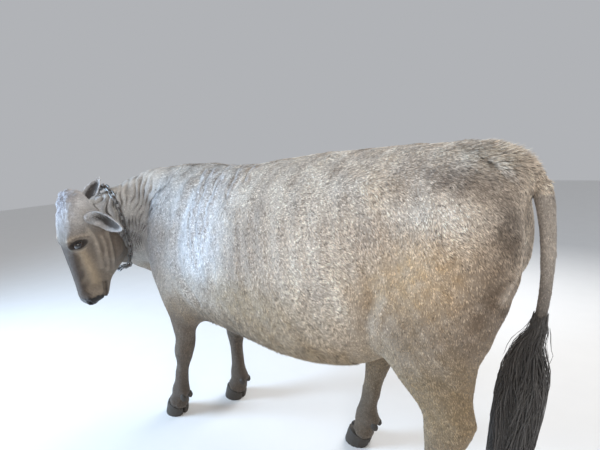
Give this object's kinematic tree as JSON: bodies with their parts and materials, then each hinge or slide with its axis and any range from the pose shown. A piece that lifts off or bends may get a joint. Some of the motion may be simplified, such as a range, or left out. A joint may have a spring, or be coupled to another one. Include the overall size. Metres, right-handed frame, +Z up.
{
  "type": "bull",
  "caption": "Life-size still model of a dehorned grey bull standing with its head turned left, wearing a link-chain collar.",
  "frame": {"origin": "middle of the base of the part's box, on the floor that it stands on", "axes": "+Z up, -Y the way the body faces, +X the animal's left side"},
  "size_m": [0.9882, 2.0854, 1.4276],
  "materials": {
    "coat": "short silver-grey hair",
    "long_hair": "long pale grey hair",
    "hoof": "dull dark horn",
    "eye": "wet",
    "chain": "worn steel"
  },
  "bodies": {
    "root": {"ear_left": "coat", "ear_right": "coat", "eye_left": "eye", "eye_right": "eye", "foreleg_left_lower": "coat", "foreleg_left_upper": "coat", "foreleg_right_lower": "coat", "foreleg_right_upper": "coat", "head": "coat", "hindleg_left_lower": "coat", "hindleg_left_upper": "coat", "hindleg_right_lower": "coat", "hindleg_right_upper": "coat", "hoof_fore_left_left_claw": "hoof", "hoof_fore_left_right_claw": "hoof", "hoof_fore_right_left_claw": "hoof", "hoof_fore_right_right_claw": "hoof", "hoof_hind_left_left_claw": "hoof", "hoof_hind_left_right_claw": "hoof", "hoof_hind_right_left_claw": "hoof", "hoof_hind_right_right_claw": "hoof", "neck": "coat", "neck_chain": "chain", "scrotum": "coat", "tail_lower": "coat", "tail_switch": "long_hair", "tail_upper": "coat", "torso": "coat"}
  },
  "joints": []
}
